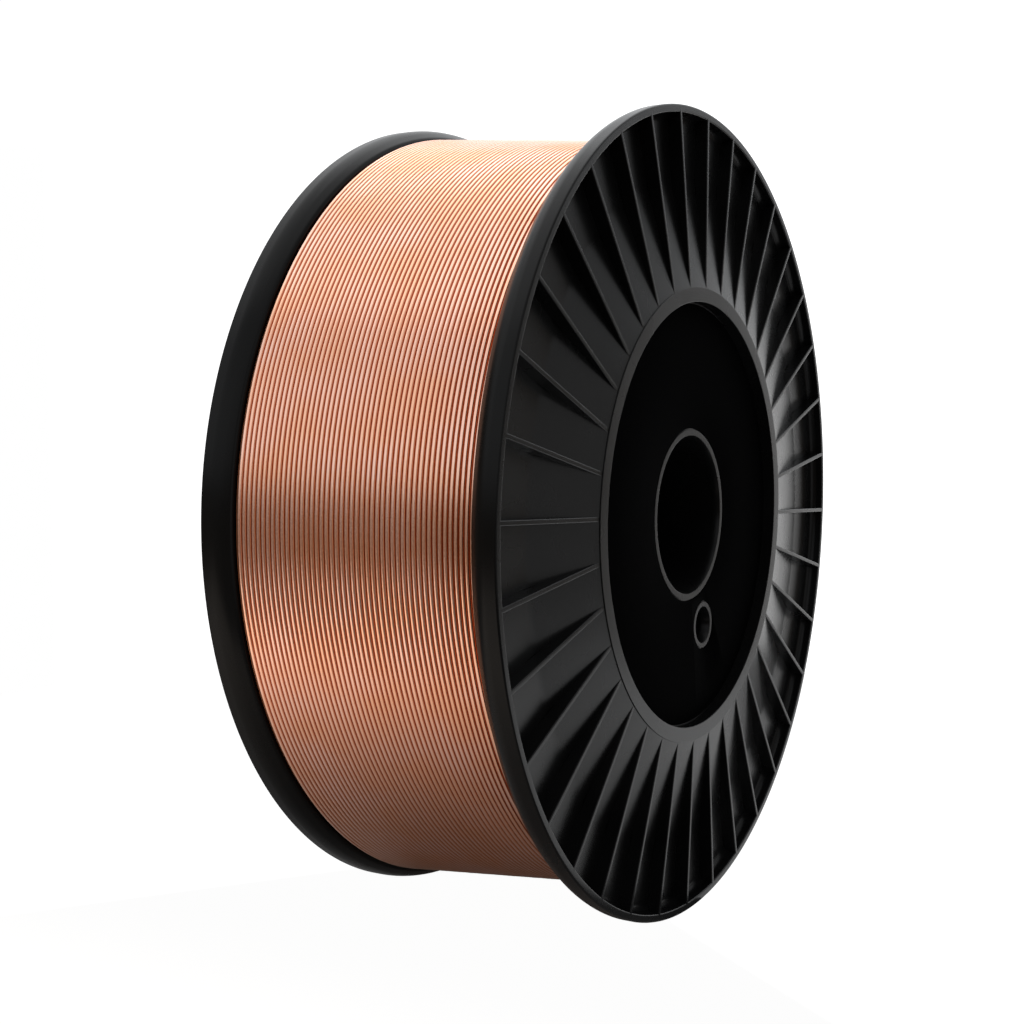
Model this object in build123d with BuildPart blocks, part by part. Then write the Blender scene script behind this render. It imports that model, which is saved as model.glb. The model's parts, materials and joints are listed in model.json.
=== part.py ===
"""Welding wire spool: two moulded halves, the wound wire and a bare hub label.

Millimetres. The spool axis is Y, the label faces minus Y, Z is up.
"""
import os
from math import cos, radians, sin

from build123d import *

os.makedirs("parts", exist_ok=True)

# Overall sizes of the spool
flange_diameter = 270.0
spool_width = 103.0
bore_diameter = 52.0
barrel_diameter = 180.0
flange_radius = flange_diameter / 2
half_width = spool_width / 2
bore_radius = bore_diameter / 2
barrel_radius = barrel_diameter / 2

# Hub ring, which stands a little proud of the rim
hub_rise = 1.2
hub_face_radius = 76.5
hub_face_y = -half_width
rim_face_y = hub_face_y + hub_rise

# Flat recess inside the hub ring, with a flat lip round the bore
hub_recess = 4.1
recess_radius = 71.5
lip_width = 2.9
mouth_chamfer = 0.9
lip_radius = bore_radius + lip_width
lip_y = hub_face_y + hub_recess

# Label in the recess, flush with the lips
label_thickness = 0.4
label_clearance = 0.4
label_seat_y = lip_y + label_thickness
label_radius = recess_radius - label_clearance
label_hole_radius = lip_radius + label_clearance

# Hole for the drive pin in its own flat lip
pin_hole_radius = 5.5
pin_hole_depth = 24.0
pin_lip_width = 2.5
pin_circle_radius = 41.0
pin_lip_radius = pin_hole_radius + pin_lip_width
pin_boss_height = 2 * label_thickness

# Outer rim band of a flange
rim_wall = 2.6
rim_width = 5.6
rim_inner_radius = flange_radius - rim_wall
rim_back_y = rim_face_y + rim_width
rim_edge_break = 0.4
rim_back_break = 0.8
rim_root_break = 2.4

# Dished web, deep at the rim and level with the hub, seen from outside
fold_width = 21.4
fold_radius = rim_inner_radius - fold_width
fold_depth = 4.0
floor_depth = 5.4
fold_y = rim_face_y + fold_depth
floor_y = rim_face_y + floor_depth

# Wire side of the web, a shallow cone from the barrel to the rim
web_back_margin = 3.1
web_back_radius = flange_radius - web_back_margin
web_back_hub_depth = 6.0
web_back_rim_depth = 11.0
web_back_hub_y = hub_face_y + web_back_hub_depth
web_back_rim_y = hub_face_y + web_back_rim_depth
web_back_slope = (web_back_rim_depth - web_back_hub_depth) / (web_back_radius - barrel_radius)

# Radial ribs over the web
rib_count = 36
rib_turn = -2.7
rib_thickness = 1.7
rib_draft = 1.0
rib_overlap = 1.0
rib_inner_radius = hub_face_radius - rib_overlap
rib_outer_radius = rim_inner_radius + rib_overlap
rib_length = rib_outer_radius - rib_inner_radius
rib_middle_radius = (rib_outer_radius + rib_inner_radius) / 2
rib_depth = floor_depth + rib_overlap
rib_floor_y = rim_face_y + rib_depth

# Drive pin hole lies in line with one rib
pin_rib = -7
pin_angle = rib_turn + pin_rib * 360.0 / rib_count
pin_x = pin_circle_radius * cos(radians(pin_angle))
pin_z = pin_circle_radius * sin(radians(pin_angle))

# Wound wire, higher against the back flange than against the front one
coil_front_margin = 10.7
coil_back_margin = 3.4
coil_front_radius = flange_radius - coil_front_margin
coil_back_radius = flange_radius - coil_back_margin
coil_front_y = hub_face_y + web_back_hub_depth + web_back_slope * (coil_front_radius - barrel_radius)
coil_back_y = -hub_face_y - web_back_hub_depth - web_back_slope * (coil_back_radius - barrel_radius)

# Front half: flange, ribs, hub face and half of the barrel in one moulding
with BuildPart() as front_half:
    with BuildSketch(Plane.XZ.offset(-rib_floor_y)):
        with PolarLocations(rib_middle_radius, rib_count, start_angle=rib_turn):
            Rectangle(rib_length, rib_thickness)
    extrude(amount=rib_depth, taper=rib_draft)
    with BuildSketch(Plane.XY):
        with BuildLine():
            Polyline(
                (rib_inner_radius, rim_face_y),
                (rib_inner_radius, rim_face_y + rib_overlap),
                (fold_radius, fold_y + rib_overlap),
                (rib_outer_radius, floor_y + rib_overlap),
                (rib_outer_radius, rim_face_y),
                close=True,
            )
        make_face()
    revolve(axis=Axis.Y, mode=Mode.INTERSECT)

    with BuildSketch(Plane.XY) as half_profile:
        with BuildLine():
            Polyline(
                (bore_radius, 0),
                (bore_radius, lip_y + mouth_chamfer),
                (bore_radius + mouth_chamfer, lip_y),
                (lip_radius, lip_y),
                (lip_radius, label_seat_y),
                (recess_radius, label_seat_y),
                (recess_radius, hub_face_y),
                (hub_face_radius, hub_face_y),
                (hub_face_radius, rim_face_y),
                (fold_radius, fold_y),
                (rim_inner_radius, floor_y),
                (rim_inner_radius, rim_face_y),
                (flange_radius, rim_face_y),
                (flange_radius, rim_back_y),
                (web_back_radius, web_back_rim_y),
                (barrel_radius, web_back_hub_y),
                (barrel_radius, 0),
                close=True,
            )
        make_face()
        corners = half_profile.vertices()
        rim_root = corners.sort_by_distance((rim_inner_radius, floor_y))[0]
        rim_edge = corners.sort_by_distance((flange_radius, rim_face_y))[0]
        rim_back = corners.sort_by_distance((flange_radius, rim_back_y))[0]
        chamfer(rim_root, rim_root_break)
        chamfer(rim_edge, rim_edge_break)
        chamfer(rim_back, rim_back_break)
    revolve(axis=Axis.Y)

    with BuildSketch(Plane.XZ.offset(-lip_y)):
        with Locations((pin_x, pin_z)):
            Circle(pin_lip_radius)
    extrude(amount=-pin_boss_height)
    with Locations(Plane.XZ.offset(-lip_y).location * Pos(pin_x, pin_z)):
        CounterSinkHole(
            radius=pin_hole_radius,
            counter_sink_radius=pin_hole_radius + mouth_chamfer,
            depth=pin_hole_depth,
            counter_sink_angle=90,
        )
front_half.part.label = "front_half"
export_step(front_half.part, "parts/front_half.step")

# Back half: the same moulding turned over about the line through the drive pin hole
with BuildPart() as back_half:
    add(front_half.part.rotate(Axis((0, 0, 0), (pin_x, 0, pin_z)), 180))
back_half.part.label = "back_half"
export_step(back_half.part, "parts/back_half.step")

# Wound wire: one turned solid on the barrel, between the two webs
with BuildPart() as wire_coil:
    with BuildSketch(Plane.XY):
        with BuildLine():
            Polyline(
                (barrel_radius, web_back_hub_y),
                (coil_front_radius, coil_front_y),
                (coil_back_radius, coil_back_y),
                (barrel_radius, -web_back_hub_y),
                close=True,
            )
        make_face()
    revolve(axis=Axis.Y)
wire_coil.part.label = "wire_coil"
export_step(wire_coil.part, "parts/wire_coil.step")

# Bare label: flat sheet in the recess, cut out round both lips
with BuildPart() as hub_label:
    with BuildSketch(Plane.XZ.offset(-lip_y)):
        Circle(label_radius)
        Circle(label_hole_radius, mode=Mode.SUBTRACT)
        with Locations((pin_x, pin_z)):
            Circle(pin_lip_radius + label_clearance, mode=Mode.SUBTRACT)
    extrude(amount=-label_thickness)
hub_label.part.label = "hub_label"
export_step(hub_label.part, "parts/hub_label.step")
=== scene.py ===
import json
import math

import bmesh
import bpy
from mathutils import Matrix, Vector, noise


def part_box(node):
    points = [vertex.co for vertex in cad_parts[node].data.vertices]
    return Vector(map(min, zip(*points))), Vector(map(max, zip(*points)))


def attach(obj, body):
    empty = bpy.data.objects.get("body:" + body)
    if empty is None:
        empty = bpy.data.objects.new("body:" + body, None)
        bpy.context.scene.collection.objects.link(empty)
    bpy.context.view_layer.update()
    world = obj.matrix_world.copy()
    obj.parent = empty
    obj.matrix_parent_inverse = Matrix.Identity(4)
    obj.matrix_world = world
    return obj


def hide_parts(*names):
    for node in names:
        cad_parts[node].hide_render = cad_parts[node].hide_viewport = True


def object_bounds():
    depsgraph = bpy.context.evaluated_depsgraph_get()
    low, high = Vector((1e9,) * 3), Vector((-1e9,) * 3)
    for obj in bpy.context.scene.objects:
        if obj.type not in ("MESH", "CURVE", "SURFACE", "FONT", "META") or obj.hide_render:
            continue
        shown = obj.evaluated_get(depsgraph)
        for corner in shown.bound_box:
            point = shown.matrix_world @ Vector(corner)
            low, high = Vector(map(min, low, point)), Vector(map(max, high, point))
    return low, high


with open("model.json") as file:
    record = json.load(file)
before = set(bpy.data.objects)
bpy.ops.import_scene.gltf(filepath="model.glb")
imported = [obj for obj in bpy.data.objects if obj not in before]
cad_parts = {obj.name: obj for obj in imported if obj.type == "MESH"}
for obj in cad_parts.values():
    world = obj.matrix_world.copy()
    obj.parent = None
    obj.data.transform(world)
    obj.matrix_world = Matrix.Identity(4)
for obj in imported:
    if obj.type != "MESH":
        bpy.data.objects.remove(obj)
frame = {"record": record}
cad_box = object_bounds()

# Sizes that the frame gives, in metres
bores = {mount["name"]: mount["dims"]["r_mm"] / 1000 for mount in frame["record"]["mounts"]}
flange_radius = round(cad_box[1][0], 6)
half_width = round(cad_box[1][1], 6)
bore_radius = bores["spindle_bore"]
pin_hole_radius = bores["drive_pin_hole"]
coil_back_radius = round(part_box("wire_coil")[1][0], 6)

# Hub, with the recess that the label lies in
barrel_radius = 0.090
hub_rise = 0.0012
hub_step = 0.0003
hub_ring_radius = 0.0765
hub_recess = 0.0041
recess_radius = 0.0715
lip_radius = 0.0289
mouth_taper = 0.0009
mouth_depth = 0.0030
label_thickness = 0.0004
label_clearance = 0.0004

# Rim and dished web
rim_wall = 0.0026
rim_width = 0.0056
fold_radius = 0.111
fold_depth = 0.0042
floor_depth = 0.0047
web_back_radius = 0.1319
web_back_hub_depth = 0.0060
web_back_rim_depth = 0.0110

# Ribs
rib_count = 36
rib_turn = math.radians(-2.7)
rib_thickness = 0.0017
rib_draft = math.radians(1.0)
rib_sink = 0.0010
rib_overlap = 0.0010
rib_inner_depth = 0.0010

# Hole for the drive pin
pin_lip_radius = 0.0080
pin_hole_depth = 0.024
pin_circle_radius = 0.041
pin_angle = rib_turn - math.radians(70)
socket_clearance = 0.00005
socket_depth = 0.003
socket_reach = 0.005
boss_depth = 0.0031

# Roundings of the edges
mouth_round = 0.00015
hub_round = 0.0002
fold_round = 0.0015
rim_root_round = 0.0026
rim_mouth_round = 0.0004
rim_edge_round = 0.0006
rim_back_round = 0.0022
web_back_round = 0.0012
rib_round = 0.0003
label_round = 0.00012

# Wire
wire_radius = 0.0008
turn_count = 49
steps_per_turn = 160
section_angles = (180, 232, 262, 290, 318, 346, 14, 42, 70, 98, 128)
coil_front_radius = 0.1243
turn_length = 0.8
turn_drift = 0.00004
turn_lift = 0.00005
core_gap = 0.0001
core_sink = 0.0011

# Steps round the axis, and how near points are taken as one
flange_steps = 360
label_steps = 240
core_steps = 180
punch_steps = 96
pin_steps = 72
sharp_angle = math.radians(32)
weld_distance = 1e-6
wire_weld_distance = 2e-6
ring_tolerance = 2e-5

# Places along the axis, and of the pin hole across it
hub_y = -half_width
rim_y = hub_y + hub_rise
lip_y = hub_y + hub_recess
label_seat_y = lip_y + label_thickness
fold_y = rim_y + fold_depth
floor_y = rim_y + floor_depth
rim_back_y = rim_y + rim_width
web_back_y = hub_y + web_back_rim_depth
rim_inner_radius = flange_radius - rim_wall
pin_x = pin_circle_radius * math.cos(pin_angle)
pin_z = pin_circle_radius * math.sin(pin_angle)


def turned(outline, steps, closed=True):
    """A bmesh spun round the spool's axis from an outline of (radius, place along the axis)."""
    mesh = bmesh.new()
    corners = [mesh.verts.new((radius, along, 0.0)) for radius, along in outline]
    pairs = zip(corners, corners[1:] + corners[:1]) if closed else zip(corners, corners[1:])
    edges = [mesh.edges.new(pair) for pair in pairs]
    bmesh.ops.spin(
        mesh,
        geom=corners + edges,
        cent=(0, 0, 0),
        axis=(0, 1, 0),
        angle=2 * math.pi,
        steps=steps,
        use_merge=True,
    )
    bmesh.ops.remove_doubles(mesh, verts=mesh.verts, dist=weld_distance)
    bmesh.ops.recalc_face_normals(mesh, faces=mesh.faces)
    return mesh


def round_edges(mesh, edges, size, segments):
    """Round the given edges of a bmesh."""
    bmesh.ops.bevel(
        mesh,
        geom=edges,
        offset=size,
        offset_type="OFFSET",
        affect="EDGES",
        segments=segments,
        profile=0.5,
        material=-1,
    )


def round_ring(mesh, radius, along, size, segments):
    """Round one corner of a turned outline all the way round."""

    def on_ring(vert):
        off_radius = abs(math.hypot(vert.co.x, vert.co.z) - radius)
        off_place = abs(vert.co.y - along)
        return off_radius < ring_tolerance and off_place < ring_tolerance

    ring = [edge for edge in mesh.edges if all(on_ring(vert) for vert in edge.verts)]
    round_edges(mesh, ring, size, segments)


def as_piece(mesh, name):
    """Put a bmesh into the scene as an object at the origin, smooth between its sharp edges."""
    data = bpy.data.meshes.new(name)
    mesh.to_mesh(data)
    mesh.free()
    data.shade_smooth()
    data.set_sharp_from_angle(angle=sharp_angle)
    piece = bpy.data.objects.new(name, data)
    bpy.context.scene.collection.objects.link(piece)
    return piece


def cut_away(piece, tool):
    """Cut the tool's solid out of the piece and drop the tool."""
    cutter = piece.modifiers.new("cut", "BOOLEAN")
    cutter.operation = "DIFFERENCE"
    cutter.solver = "EXACT"
    cutter.object = tool
    graph = bpy.context.evaluated_depsgraph_get()
    cut = bpy.data.meshes.new_from_object(piece.evaluated_get(graph))
    piece.modifiers.clear()
    old = piece.data
    piece.data = cut
    bpy.data.meshes.remove(old)
    bpy.data.meshes.remove(tool.data)


def even_shading(piece):
    """Keep the wide flat faces flat where small roundings meet them."""
    weighted = piece.modifiers.new("even_shading", "WEIGHTED_NORMAL")
    weighted.keep_sharp = True
    weighted.weight = 80


def feed(tree, socket, value):
    """Give an input socket its own value, or link the output socket that feeds it."""
    if isinstance(value, bpy.types.NodeSocket):
        tree.links.new(value, socket)
    else:
        socket.default_value = value


def add_node(tree, kind, inputs, **settings):
    """Add a node with its settings and with what its inputs are fed."""
    node = tree.nodes.new(kind)
    for setting, value in settings.items():
        setattr(node, setting, value)
    for name, value in inputs.items():
        feed(tree, node.inputs[name], value)
    return node


def worked_out(tree, operation, first, second=0.0):
    """The value that a Math node makes of one or two others."""
    return add_node(tree, "ShaderNodeMath", {0: first, 1: second}, operation=operation).outputs["Value"]


def ranged(tree, value, span, levels=(0.0, 1.0), rise="SMOOTHSTEP"):
    """A value that goes from the first level to the second across a span of another value."""
    low, high = span
    first, second = levels
    inputs = {"Value": value, "From Min": low, "From Max": high, "To Min": first, "To Max": second}
    return add_node(tree, "ShaderNodeMapRange", inputs, interpolation_type=rise).outputs["Result"]


def blended(tree, share, first, second):
    """The colour at a share of the way from the first colour to the second."""
    inputs = {"Factor": share, "A": first, "B": second}
    return add_node(tree, "ShaderNodeMix", inputs, data_type="RGBA").outputs["Result"]


def bumped(tree, height, strength, distance):
    """The normal that a Bump node makes of a height."""
    inputs = {"Height": height, "Strength": strength, "Distance": distance}
    return add_node(tree, "ShaderNodeBump", inputs).outputs["Normal"]


def object_place(tree):
    """The place on the object, for patterns that stay with it."""
    return tree.nodes.new("ShaderNodeTexCoord").outputs["Object"]


def new_material(name):
    """A material with its node tree and its shader."""
    material = bpy.data.materials.new(name)
    material.use_nodes = True
    return material, material.node_tree, material.node_tree.nodes["Principled BSDF"]


def set_shader(tree, shader, inputs):
    """Feed the shader's inputs."""
    for name, value in inputs.items():
        feed(tree, shader.inputs[name], value)


def new_mottle_group():
    """A shader group that gives soft patches and a colour that goes with them between two tones."""
    group = bpy.data.node_groups.new("mottle", "ShaderNodeTree")
    sockets = (
        ("Vector", "INPUT", "NodeSocketVector"),
        ("Scale", "INPUT", "NodeSocketFloat"),
        ("Detail", "INPUT", "NodeSocketFloat"),
        ("Distortion", "INPUT", "NodeSocketFloat"),
        ("Low", "INPUT", "NodeSocketFloat"),
        ("High", "INPUT", "NodeSocketFloat"),
        ("Low Tone", "INPUT", "NodeSocketColor"),
        ("High Tone", "INPUT", "NodeSocketColor"),
        ("Patches", "OUTPUT", "NodeSocketFloat"),
        ("Tone", "OUTPUT", "NodeSocketColor"),
    )
    for name, direction, kind in sockets:
        group.interface.new_socket(name=name, in_out=direction, socket_type=kind)
    given = group.nodes.new("NodeGroupInput").outputs
    noise_inputs = {name: given[name] for name in ("Vector", "Scale", "Detail", "Distortion")}
    patches = add_node(group, "ShaderNodeTexNoise", noise_inputs).outputs["Fac"]
    share = ranged(group, patches, (given["Low"], given["High"]), rise="LINEAR")
    tone = blended(group, share, given["Low Tone"], given["High Tone"])
    add_node(group, "NodeGroupOutput", {"Patches": patches, "Tone": tone})
    return group


mottle = new_mottle_group()


def mottled(tree, scale, detail, span, tones, distortion=0.0):
    """The outputs of the mottle group, placed in a material with that material's values."""
    inputs = {
        "Vector": object_place(tree),
        "Scale": scale,
        "Detail": detail,
        "Distortion": distortion,
        "Low": span[0],
        "High": span[1],
        "Low Tone": tones[0],
        "High Tone": tones[1],
    }
    return add_node(tree, "ShaderNodeGroup", inputs, node_tree=mottle).outputs


# Moulded halves
# Each half is one black polystyrene injection moulding: flange with rim band and ribs,
# recessed hub face, half of the barrel and half of the spindle bore. Both are the same moulding.
body = turned(
    [
        (bore_radius, 0.0),
        (bore_radius, lip_y + mouth_depth),
        (bore_radius + mouth_taper, lip_y),
        (lip_radius, lip_y),
        (lip_radius, label_seat_y),
        (recess_radius, label_seat_y),
        (recess_radius, hub_y),
        (hub_ring_radius, hub_y),
        (hub_ring_radius, hub_y + hub_step),
        (fold_radius, fold_y),
        (rim_inner_radius, floor_y),
        (rim_inner_radius, rim_y),
        (flange_radius, rim_y),
        (flange_radius, rim_back_y),
        (web_back_radius, web_back_y),
        (barrel_radius, hub_y + web_back_hub_depth),
        (barrel_radius, 0.0),
    ],
    flange_steps,
)
body_roundings = (
    (bore_radius + mouth_taper, lip_y, mouth_round, 2),
    (rim_inner_radius, floor_y, rim_root_round, 5),
    (rim_inner_radius, rim_y, rim_mouth_round, 3),
    (flange_radius, rim_y, rim_edge_round, 3),
    (flange_radius, rim_back_y, rim_back_round, 6),
    (web_back_radius, web_back_y, web_back_round, 3),
    (hub_ring_radius, hub_y, hub_round, 3),
    (recess_radius, hub_y, hub_round, 3),
    (fold_radius, fold_y, fold_round, 3),
)
for radius, along, size, segments in body_roundings:
    round_ring(body, radius, along, size, segments)
front_moulding = as_piece(body, "front_moulding")

# socket of the drive pin, cut into the recessed hub face
socket = turned(
    [
        (0.0, lip_y - socket_reach),
        (pin_lip_radius + socket_clearance, lip_y - socket_reach),
        (pin_lip_radius + socket_clearance, lip_y + socket_depth),
        (pin_hole_radius, lip_y + socket_depth),
        (pin_hole_radius, lip_y + pin_hole_depth),
        (0.0, lip_y + pin_hole_depth),
    ],
    pin_steps,
    closed=False,
)
bmesh.ops.translate(socket, vec=(pin_x, 0, pin_z), verts=socket.verts)
cut_away(front_moulding, as_piece(socket, "pin_socket"))

# ribs from the hub ring to the rim, thinner towards their tops by the draft
rib_depth = floor_depth + rib_sink
rib_length = rim_inner_radius - hub_ring_radius + 2 * rib_overlap
ribs = bmesh.new()
bmesh.ops.create_cube(ribs, size=1.0)
bmesh.ops.scale(ribs, vec=(rib_length, rib_depth, rib_thickness), verts=ribs.verts)
for corner in ribs.verts:
    if corner.co.y < 0:
        corner.co.z *= 1 - 2 * rib_depth * math.tan(rib_draft) / rib_thickness
long_edges = [edge for edge in ribs.edges if edge.calc_length() > rib_length / 2]
top_edges = [edge for edge in long_edges if edge.verts[0].co.y < 0]
round_edges(ribs, top_edges, rib_round, 3)
bmesh.ops.translate(
    ribs,
    vec=((rim_inner_radius + hub_ring_radius) / 2, rim_y + rib_depth / 2, 0),
    verts=ribs.verts,
)

# a rib starts shallow at the hub, where its top is level with the hub ring's foot
for corner in ribs.verts:
    if corner.co.x < fold_radius:
        if corner.co.y > rim_y + rib_depth / 2:
            corner.co.y = rim_y + rib_inner_depth
        else:
            corner.co.y += hub_step - hub_rise
bmesh.ops.rotate(ribs, cent=(0, 0, 0), matrix=Matrix.Rotation(-rib_turn, 3, "Y"), verts=ribs.verts)
bmesh.ops.spin(
    ribs,
    geom=ribs.verts[:] + ribs.edges[:] + ribs.faces[:],
    cent=(0, 0, 0),
    axis=(0, 1, 0),
    angle=2 * math.pi * (rib_count - 1) / rib_count,
    steps=rib_count - 1,
    use_duplicate=True,
)
bmesh.ops.recalc_face_normals(ribs, faces=ribs.faces)
rib_set = as_piece(ribs, "rib_set")

# flat lip round the socket
boss = turned(
    [
        (pin_hole_radius, lip_y + boss_depth),
        (pin_hole_radius + mouth_taper, lip_y),
        (pin_lip_radius, lip_y),
        (pin_lip_radius, lip_y + boss_depth),
    ],
    pin_steps,
)
round_ring(boss, pin_hole_radius + mouth_taper, lip_y, mouth_round, 2)
bmesh.ops.translate(boss, vec=(pin_x, 0, pin_z), verts=boss.verts)
pin_boss = as_piece(boss, "pin_boss")

whole = bmesh.new()
for part in (front_moulding, rib_set, pin_boss):
    whole.from_mesh(part.data)
for spare in (rib_set, pin_boss):
    bpy.data.meshes.remove(spare.data)
whole.to_mesh(front_moulding.data)
front_moulding.data.set_sharp_from_angle(angle=sharp_angle)
even_shading(front_moulding)
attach(front_moulding, "root")
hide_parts("front_half")

# the back half is the same moulding, turned over about the line through the drive pin hole
bmesh.ops.rotate(
    whole,
    cent=(0, 0, 0),
    matrix=Matrix.Rotation(math.pi, 3, Vector((pin_x, 0, pin_z))),
    verts=whole.verts,
)
back_moulding = as_piece(whole, "back_moulding")
even_shading(back_moulding)
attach(back_moulding, "root")
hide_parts("back_half")

plastic, tree, shader = new_material("satin_black_polystyrene")
cloud = mottled(
    tree,
    scale=38.0,
    detail=4.0,
    span=(0.3, 0.7),
    tones=((0.0019, 0.0019, 0.0020, 1), (0.0035, 0.0035, 0.0036, 1)),
)
grain = add_node(tree, "ShaderNodeTexNoise", {"Vector": object_place(tree), "Scale": 2600.0, "Detail": 2.0})
set_shader(
    tree,
    shader,
    {
        "Base Color": cloud["Tone"],
        "IOR": 1.5,
        "Specular IOR Level": 0.12,
        "Roughness": ranged(tree, cloud["Patches"], (0.0, 1.0), (0.22, 0.32), rise="LINEAR"),
        "Normal": bumped(tree, grain.outputs["Fac"], strength=0.10, distance=0.00004),
    },
)
for moulding in (front_moulding, back_moulding):
    moulding.data.materials.clear()
    moulding.data.materials.append(plastic)

# Welding wire
# One length of 1.6 mm copper-coated steel wire, wound in close layers on the barrel. The top layer
# is a real helix. It lies on a turned core that stands for the layers beneath it.
web_back_slope = (web_back_rim_depth - web_back_hub_depth) / (web_back_radius - barrel_radius)
coil_front_y = hub_y + web_back_hub_depth + web_back_slope * (coil_front_radius - barrel_radius)
coil_back_y = -hub_y - web_back_hub_depth - web_back_slope * (coil_back_radius - barrel_radius)
coil_taper = (coil_back_radius - coil_front_radius) / (coil_back_y - coil_front_y)
first_turn_y = coil_front_y + wire_radius
pitch = (coil_back_y - wire_radius - first_turn_y) / turn_count
start_radius = coil_front_radius - wire_radius

wire = bmesh.new()
section = []
for angle in section_angles:
    across = Vector((math.cos(math.radians(angle)), math.sin(math.radians(angle)), 0))
    section.append(wire.verts.new(across * wire_radius + Vector((start_radius, first_turn_y, 0))))
outline = [wire.edges.new(pair) for pair in zip(section, section[1:] + section[:1])]
bmesh.ops.spin(
    wire,
    geom=section + outline,
    cent=(0, 0, 0),
    axis=(0, 1, 0),
    dvec=(0, pitch / steps_per_turn, 0),
    angle=2 * math.pi,
    steps=steps_per_turn,
)
bmesh.ops.spin(
    wire,
    geom=wire.verts[:] + wire.edges[:] + wire.faces[:],
    cent=(0, 0, 0),
    axis=(0, 1, 0),
    dvec=(0, pitch, 0),
    angle=2 * math.pi * (turn_count - 1),
    steps=turn_count - 1,
    use_duplicate=True,
)
bmesh.ops.remove_doubles(wire, verts=wire.verts, dist=wire_weld_distance)
open_ends = [edge for edge in wire.edges if edge.is_boundary]
bmesh.ops.holes_fill(wire, edges=open_ends, sides=len(section))
bmesh.ops.recalc_face_normals(wire, faces=wire.faces)


def turns_round(point):
    """The share of a turn that a point lies round the axis, in the way the wire runs."""
    return math.atan2(-point.z, point.x) / (2 * math.pi) % 1.0


# where each point lies along the wire, in metres, and round it, from its crown at 0
run = wire.loops.layers.uv.new("run")
for face in wire.faces:
    centre = face.calc_center_median()
    face_turn = turns_round(centre)
    lap = round((centre.y - first_turn_y) / pitch - face_turn)
    for loop in face.loops:
        point = loop.vert.co
        turn = turns_round(point)
        turn += round(face_turn - turn)
        out = math.hypot(point.x, point.z) - start_radius
        side = point.y - first_turn_y - pitch * (lap + turn)
        loop[run].uv = ((lap + turn) * turn_length, math.atan2(side, out) / (2 * math.pi))


def wander(point, across, along, shift):
    """Smooth noise at a point, with a scale across the axis and another along it."""
    return noise.noise(Vector((point.x * across, point.y * along + shift, point.z * across)))


# the winding rises towards the back flange, and no turn lies quite true
for vert in wire.verts:
    ahead = Vector((vert.co.x, 0, vert.co.z)).normalized()
    drift = wander(vert.co, across=9, along=300, shift=0)
    lift = wander(vert.co, across=14, along=450, shift=40)
    vert.co += ahead * (coil_taper * (vert.co.y - first_turn_y) + turn_lift * lift)
    vert.co.y += turn_drift * drift
wound_wire = as_piece(wire, "wound_wire")

core = turned(
    [
        (barrel_radius + core_gap, hub_y + web_back_hub_depth + core_gap),
        (coil_front_radius - core_sink, coil_front_y + core_gap),
        (coil_back_radius - core_sink, coil_back_y - core_gap),
        (barrel_radius + core_gap, -hub_y - web_back_hub_depth - core_gap),
    ],
    core_steps,
)
lower_layers = as_piece(core, "lower_layers")
for winding in (wound_wire, lower_layers):
    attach(winding, "root")
    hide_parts("wire_coil")

# bright copper on the crown of the wire, with painted shade: darker and redder down its flanks and in the
# grooves between turns, and a darkened specular tint on the flanks
copper, tree, shader = new_material("copper_coated_wire")
crown = mottled(
    tree,
    scale=55.0,
    detail=3.0,
    span=(0.36, 0.62),
    tones=((0.93, 0.50, 0.33, 1), (0.95, 0.58, 0.46, 1)),
)
wire_run = add_node(tree, "ShaderNodeUVMap", {}, uv_map="run").outputs["UV"]
round_wire = add_node(tree, "ShaderNodeSeparateXYZ", {"Vector": wire_run}).outputs["Y"]
off_crown = worked_out(tree, "ABSOLUTE", round_wire)
# painted shade: masks for the flanks and the grooves between turns, where shade and red light bounced
# between the turns are painted into the colour
painted_flank_shade = ranged(tree, off_crown, (0.05, 0.15))
painted_groove_shade = ranged(tree, off_crown, (0.13, 0.23))
shaded_flank_copper = blended(tree, painted_flank_shade, crown["Tone"], (0.72, 0.28, 0.15, 1))
drawn = add_node(tree, "ShaderNodeMapping", {"Vector": wire_run, "Scale": (60.0, 90.0, 1.0)})
streak_inputs = {"Vector": drawn.outputs["Vector"], "Scale": 1.0, "Detail": 2.0}
streaks = add_node(tree, "ShaderNodeTexNoise", streak_inputs).outputs["Fac"]
set_shader(
    tree,
    shader,
    {
        # painted shade: darker, redder colour and a dark specular tint on the flanks and in the grooves
        "Base Color": blended(tree, painted_groove_shade, shaded_flank_copper, (0.54, 0.20, 0.10, 1)),
        "Metallic": 1.0,
        "Specular Tint": blended(tree, painted_flank_shade, (1.0, 1.0, 1.0, 1), (0.30, 0.12, 0.06, 1)),
        "Roughness": ranged(tree, streaks, (0.0, 1.0), (0.20, 0.30), rise="LINEAR"),
        "Normal": bumped(tree, streaks, strength=0.15, distance=0.00002),
    },
)
wound_wire.data.materials.append(copper)

shade, tree, shader = new_material("shaded_lower_wire")
dark_copper = mottled(
    tree,
    scale=60.0,
    detail=2.0,
    span=(0.0, 1.0),
    tones=((0.28, 0.09, 0.04, 1), (0.46, 0.17, 0.08, 1)),
)
set_shader(
    tree,
    shader,
    {
        "Base Color": dark_copper["Tone"],
        "Metallic": 1.0,
        "Specular Tint": (0.60, 0.30, 0.20, 1),
        "Roughness": 0.45,
    },
)
lower_layers.data.materials.append(shade)

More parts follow.
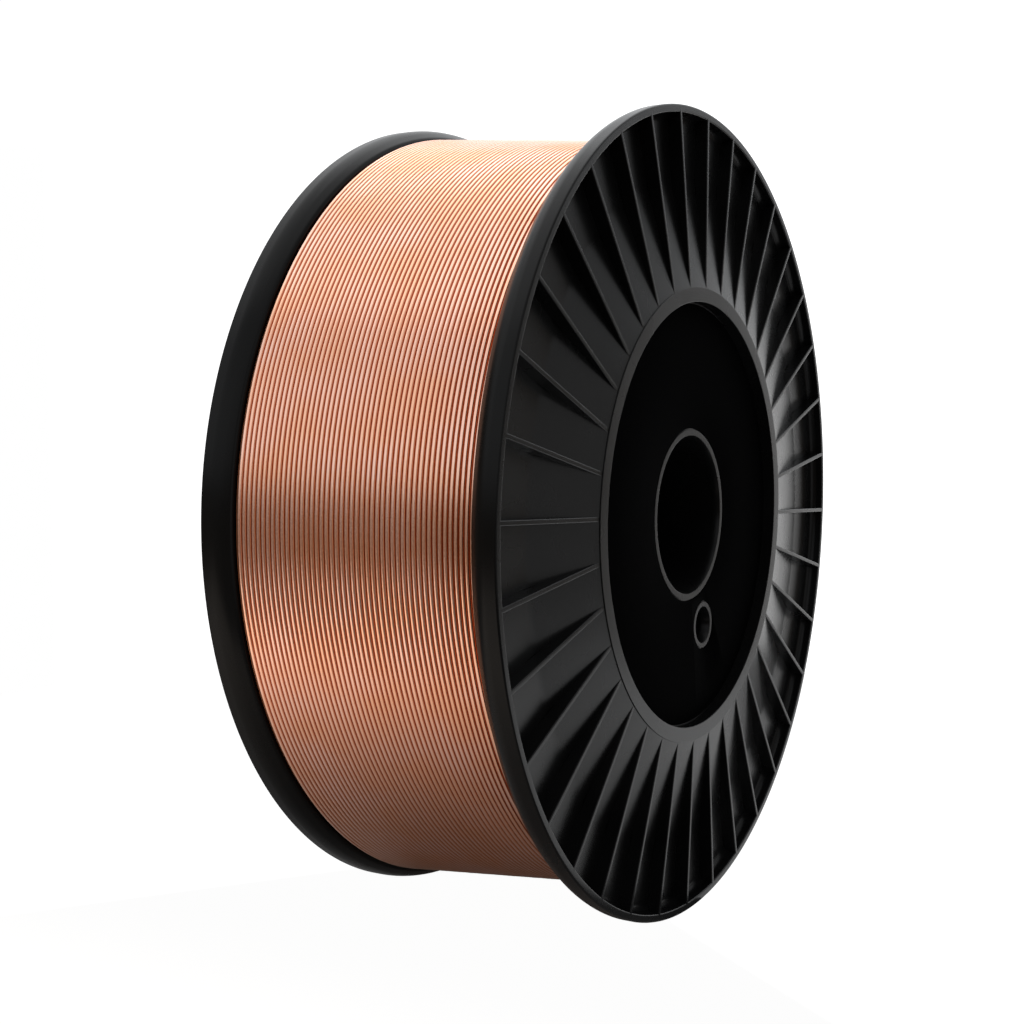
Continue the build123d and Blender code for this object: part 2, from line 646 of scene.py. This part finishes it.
# Hub label
# A flat ring of thin black sheet, glued in the recess and cut out round the bore and round the
# drive pin hole. It is bare.
label_radius = recess_radius - label_clearance
label_hole_radius = lip_radius + label_clearance
sheet = turned(
    [
        (label_hole_radius, label_seat_y),
        (label_radius, label_seat_y),
        (label_radius, lip_y),
        (label_hole_radius, lip_y),
    ],
    label_steps,
)
round_ring(sheet, label_radius, lip_y, label_round, 2)
round_ring(sheet, label_hole_radius, lip_y, label_round, 2)
hub_sheet = as_piece(sheet, "hub_sheet")
punch = bmesh.new()
bmesh.ops.create_cone(
    punch,
    cap_ends=True,
    segments=punch_steps,
    radius1=pin_lip_radius + label_clearance,
    radius2=pin_lip_radius + label_clearance,
    depth=0.02,
)
bmesh.ops.rotate(punch, cent=(0, 0, 0), matrix=Matrix.Rotation(math.pi / 2, 3, "X"), verts=punch.verts)
bmesh.ops.translate(punch, vec=(pin_x, lip_y, pin_z), verts=punch.verts)
cut_away(hub_sheet, as_piece(punch, "label_punch"))
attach(hub_sheet, "root")
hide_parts("hub_label")

card, tree, shader = new_material("matt_black_label")
fibres = mottled(
    tree,
    scale=900.0,
    detail=5.0,
    distortion=1.2,
    span=(0.35, 0.75),
    tones=((0.0006, 0.0006, 0.0007, 1), (0.0013, 0.0013, 0.0014, 1)),
)
set_shader(
    tree,
    shader,
    {
        "Base Color": fibres["Tone"],
        "Specular IOR Level": 0.005,
        "Roughness": ranged(tree, fibres["Patches"], (0.0, 1.0), (0.75, 0.95), rise="LINEAR"),
        "Normal": bumped(tree, fibres["Patches"], strength=0.12, distance=0.00002),
    },
)
hub_sheet.data.materials.clear()
hub_sheet.data.materials.append(card)

# Floor
# A pale studio table under the spool, white to the camera except where the spool shades it.
table = bmesh.new()
bmesh.ops.create_grid(table, x_segments=1, y_segments=1, size=0.45)
bmesh.ops.translate(table, vec=(0, 0, -flange_radius), verts=table.verts)
floor = as_piece(table, "floor")
pale, tree, shader = new_material("pale_table")
rays = add_node(tree, "ShaderNodeLightPath", {})
set_shader(
    tree,
    shader,
    {
        "Base Color": (0.14, 0.14, 0.14, 1),
        "Roughness": 0.9,
        "Specular IOR Level": 0.0,
        "Emission Color": (1, 1, 1, 1),
        "Emission Strength": worked_out(tree, "MULTIPLY", rays.outputs["Is Camera Ray"], 0.975),
    },
)
floor.data.materials.append(pale)

# Bounce cards
# Two cards on the table that the camera doesn't see. The warm one to the left throws light up on
# the lower wire and fades towards the spool. The white one to the right in front lights the lower
# ribs evenly.
card_height = 0.0005
fade_span = (-0.08, -0.30)


def add_card(name, spot, size, turn, tone, glow, tint):
    """A card flat on the table. Its glow has one level near the spool and another far from it."""
    grid = bmesh.new()
    bmesh.ops.create_grid(grid, x_segments=1, y_segments=1, size=0.5)
    bmesh.ops.scale(grid, vec=(*size, 1), verts=grid.verts)
    bmesh.ops.rotate(grid, cent=(0, 0, 0), matrix=Matrix.Rotation(turn, 3, "Z"), verts=grid.verts)
    bmesh.ops.translate(grid, vec=(*spot, card_height - flange_radius), verts=grid.verts)
    bounce_card = as_piece(grid, name)
    bounce_card.visible_camera = False
    board, tree, shader = new_material(name)
    across = add_node(tree, "ShaderNodeSeparateXYZ", {"Vector": object_place(tree)}).outputs["X"]
    set_shader(
        tree,
        shader,
        {
            "Base Color": (tone, tone, tone, 1),
            "Roughness": 0.9,
            "Specular IOR Level": 0.0,
            "Emission Color": tint,
            "Emission Strength": ranged(tree, across, fade_span, glow),
        },
    )
    bounce_card.data.materials.append(board)


add_card(
    "left_card",
    spot=(-0.277, 0.105),
    size=(0.60, 0.25),
    turn=math.radians(144),
    tone=0.25,
    glow=(0.04, 1.08),
    tint=(1.0, 0.86, 0.74, 1),
)
add_card(
    "right_card",
    spot=(0.20, -0.22),
    size=(0.46, 0.28),
    turn=math.radians(-15),
    tone=0.85,
    glow=(0.55, 0.55),
    tint=(1.0, 1.0, 1.0, 1),
)

# Studio light
# A bright ceiling over the spool, a little weaker straight overhead. Round it stand pale walls: one
# in front of the label, and a brighter one from the right to behind. The rest of the room is dim
# and warm, and the wire and the black plastic show it as dark bands.
ceiling_level = 1.02
overhead_level = 0.74
dim_level = 0.18
ceiling_foot = (0.06, 0.17)
ceiling_near_edge = (-0.95, -0.45)
ceiling_far_edge = (0.97, 0.80)
overhead_span = (0.50, 0.85)
room_tint = (1.0, 0.80, 0.62, 1)
ceiling_tint = (0.98, 1.0, 1.02, 1)
white = (1.0, 1.0, 1.0, 1)

# strength of the walls by direction, in degrees round from +X
wall_levels = (
    (-130, 0.0),
    (-114, 0.7),
    (-84, 0.7),
    (-70, 0.0),
    (-54, 0.85),
    (-42, 0.62),
    (-29, 0.11),
    (-25, 0.15),
    (-11, 2.0),
    (42, 1.25),
    (60, 0.0),
)

world = bpy.data.worlds.new("studio")
bpy.context.scene.world = world
world.use_nodes = True
sky = world.node_tree
gaze = add_node(sky, "ShaderNodeTexCoord", {}).outputs["Generated"]
split = add_node(sky, "ShaderNodeSeparateXYZ", {"Vector": gaze}).outputs
above = ranged(sky, split["Z"], ceiling_foot)
near_edge = ranged(sky, split["Y"], ceiling_near_edge)
far_edge = ranged(sky, split["Y"], ceiling_far_edge)
strip = worked_out(sky, "MULTIPLY", near_edge, far_edge)
ceiling = worked_out(sky, "MULTIPLY", above, strip)
ceiling_strength = ranged(sky, split["Z"], overhead_span, (ceiling_level, overhead_level))
ceiling_light = worked_out(sky, "MULTIPLY", ceiling, ceiling_strength)

direction = worked_out(sky, "ARCTAN2", split["Y"], split["X"])
walls = add_node(
    sky,
    "ShaderNodeValToRGB",
    {"Fac": ranged(sky, direction, (-math.pi, math.pi), rise="LINEAR")},
)
walls.color_ramp.interpolation = "EASE"
while len(walls.color_ramp.elements) < len(wall_levels):
    walls.color_ramp.elements.new(0.5)
for stop, (degrees, strength) in zip(walls.color_ramp.elements, wall_levels):
    stop.position = (degrees + 180) / 360
    stop.color = (strength, strength, strength, 1)

brighter = worked_out(sky, "MAXIMUM", ceiling_light, walls.outputs["Color"])
lit = worked_out(sky, "MAXIMUM", brighter, dim_level)
camera_ray = add_node(sky, "ShaderNodeLightPath", {}).outputs["Is Camera Ray"]
pale_part = ranged(sky, lit, (dim_level, 2 * dim_level), rise="LINEAR")
wall_tint = blended(sky, pale_part, room_tint, white)
lit_tint = blended(sky, ceiling, wall_tint, ceiling_tint)
room = sky.nodes["Background"]
feed(sky, room.inputs["Strength"], worked_out(sky, "MAXIMUM", lit, camera_ray))
feed(sky, room.inputs["Color"], blended(sky, camera_ray, lit_tint, white))

# a soft light over the spool and a little behind it, facing its middle
lamp_spot = Vector((0.0, 0.25, 1.3))
lamp = bpy.data.lights.new("top_box", "AREA")
lamp.shape = "RECTANGLE"
lamp.size = 1.8
lamp.size_y = 1.8
lamp.energy = 7.4
lamp_holder = bpy.data.objects.new("top_box", lamp)
lamp_holder.location = lamp_spot
lamp_holder.rotation_euler = (-lamp_spot).to_track_quat("-Z", "Y").to_euler()
bpy.context.scene.collection.objects.link(lamp_holder)

# Camera
# Level, a little above the middle of the spool, looking past the label at the wire.
camera_azimuth = math.radians(-60.186)
camera_elevation = math.radians(4.092)
camera_data = bpy.data.cameras.new("camera")
camera_data.sensor_width = 36.0
camera_data.lens = 52.196
camera = bpy.data.objects.new("camera", camera_data)
camera.location = (-0.466, -0.24481, 0.03689)
camera.rotation_euler = (math.pi / 2 - camera_elevation, 0, camera_azimuth)
bpy.context.scene.collection.objects.link(camera)
bpy.context.scene.camera = camera
bpy.context.scene.view_settings.view_transform = "Standard"
